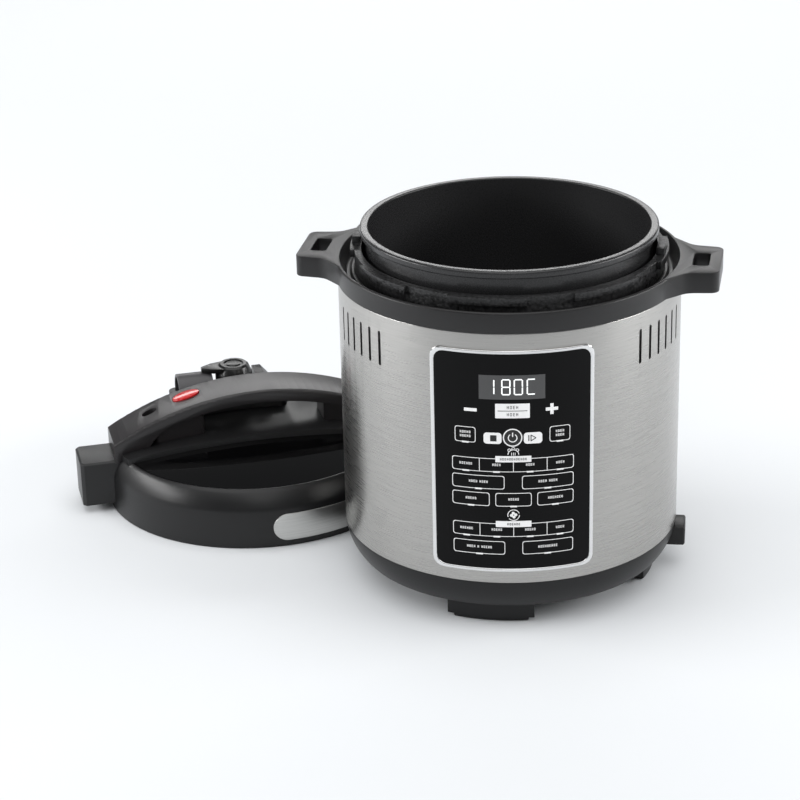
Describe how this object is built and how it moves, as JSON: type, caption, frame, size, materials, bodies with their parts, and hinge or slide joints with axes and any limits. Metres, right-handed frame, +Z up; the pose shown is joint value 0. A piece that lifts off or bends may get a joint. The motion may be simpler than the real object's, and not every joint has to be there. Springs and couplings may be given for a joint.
{
  "type": "electric pressure cooker",
  "caption": "Electric pressure cooker: round steel body with touch panel and side handles, lift-out pot, and a separate bayonet lid with arched handle and steam release knob.",
  "frame": {"origin": "centre of the overall footprint on the surface the cooker stands on, with the lid lying beside it", "axes": "+Z up, the control panel faces -Y, +X to the right of someone facing the panel"},
  "size_m": [0.5662, 0.4254, 0.3018],
  "materials": {
    "brushed_shell": "horizontally brushed stainless sheet",
    "body_plastic": "satin charcoal moulding",
    "pan_plastic": "satin black moulding",
    "foot_rubber": "matt black rubber",
    "flange_casting": "coarse black coated casting with bright worn edges",
    "liner_sheet": "dull drawn sheet",
    "fastener": "zinc plated",
    "pot_coating": "charcoal non-stick coating, bare bright line under the rim",
    "heater_casting": "turned casting",
    "heater_tube": "oxidised tube",
    "sensor_metal": "smooth spun cap",
    "spring_steel": "drawn wire",
    "bracket_steel": "pressed sheet",
    "fuse_body": "ceramic coloured holder",
    "circuit_board": "green solder mask",
    "components": "mixed moulded components",
    "fan_plastic": "black glass-filled moulding",
    "inlet_plastic": "black moulding",
    "pin_brass": "plated brass",
    "bezel_metal": "bright bevelled frame",
    "panel_face": "glossy black touch face",
    "display": "grey display block and indicators",
    "cup_clear": "clear moulded cup",
    "lid_plastic": "satin charcoal moulding",
    "lid_gloss": "glossy black domed panel",
    "handle_plastic": "satin charcoal moulding",
    "knob_plastic": "semi-gloss black moulding",
    "button_red": "glossy red",
    "lid_steel": "brushed stainless pressing",
    "silicone": "translucent silicone",
    "gasket_silicone": "red silicone",
    "float_metal": "polished pin",
    "badge_steel": "brushed blank badge"
  },
  "bodies": {
    "base": {"housing_shell": "brushed_shell", "top_ring": "body_plastic", "base_pan": "pan_plastic", "rubber_feet": "foot_rubber", "locking_flange": "flange_casting", "outer_pot": "liner_sheet", "flange_screws": "fastener", "heating_plate": "heater_casting", "heating_element": "heater_tube", "sensor_bracket": "bracket_steel", "sensor_spring": "spring_steel", "thermal_fuse": "fuse_body", "power_board": "circuit_board", "board_parts": "components", "board_screws": "fastener", "fan_frame": "fan_plastic", "fan_screws": "fastener", "mains_inlet": "inlet_plastic", "inlet_pins": "pin_brass", "panel_bezel": "bezel_metal", "panel_lens": "panel_face", "panel_tray": "pan_plastic", "display_board": "circuit_board", "lcd_module": "display", "cup_holder": "pan_plastic"},
    "pot": {"inner_pot": "pot_coating"},
    "sensor": {"sensor_cap": "sensor_metal"},
    "fan": {"fan_rotor": "fan_plastic"},
    "cup": {"condensation_cup": "cup_clear"},
    "seal": {"sealing_ring": "silicone"},
    "lid": {"lid_cover": "lid_plastic", "lid_panel_front": "lid_gloss", "lid_panel_rear": "lid_gloss", "lid_handle": "handle_plastic", "steam_hood": "handle_plastic", "valve_stem": "lid_steel", "lid_inner_plate": "lid_steel", "lid_screws": "fastener", "seal_rack": "lid_steel", "block_shield": "lid_steel", "lid_badge": "badge_steel", "button_spring": "spring_steel"},
    "knob": {"steam_release_knob": "knob_plastic"},
    "float": {"float_valve": "float_metal", "float_gasket": "gasket_silicone"},
    "button": {"vent_button": "button_red"}
  },
  "joints": [
    {"name": "pot_lift", "type": "slide", "parent": "base", "child": "pot", "axis": [0, 0, 1], "range_m": [0, 0.26]},
    {"name": "sensor_press", "type": "slide", "parent": "base", "child": "sensor", "axis": [0, 0, 1], "range_m": [-0.003, 0], "stiffness_N_per_m": 300, "springref_m": 0.004, "deforming": ["sensor_spring"]},
    {"name": "fan_spin", "type": "hinge", "parent": "base", "child": "fan", "pos_m": [0.07029, -0.02503, 0.03], "axis": [0, 0, 1], "continuous": true},
    {"name": "cup_slide", "type": "slide", "parent": "base", "child": "cup", "axis": [0, 1, 0], "range_m": [0, 0.04]},
    {"name": "lid_lift", "type": "slide", "parent": "base", "child": "seal", "axis": [-0.4202, 0.2701, 0.8663], "range_m": [0, 0.3]},
    {"name": "lid_turn", "type": "hinge", "parent": "seal", "child": "lid", "pos_m": [-0.12231, 0.0777, 0.04], "axis": [0, 0, 1], "range_deg": [0, 30]},
    {"name": "knob_turn", "type": "hinge", "parent": "lid", "child": "knob", "pos_m": [-0.14474, 0.12328, 0.0746], "axis": [0, 0, -1], "range_deg": [0, 60]},
    {"name": "float_rise", "type": "slide", "parent": "lid", "child": "float", "axis": [0, 0, 1], "range_m": [0, 0.004]},
    {"name": "button_press", "type": "slide", "parent": "lid", "child": "button", "axis": [0, 0, -1], "range_m": [0, 0.003], "stiffness_N_per_m": 400, "springref_m": -0.002, "deforming": ["button_spring"]}
  ]
}
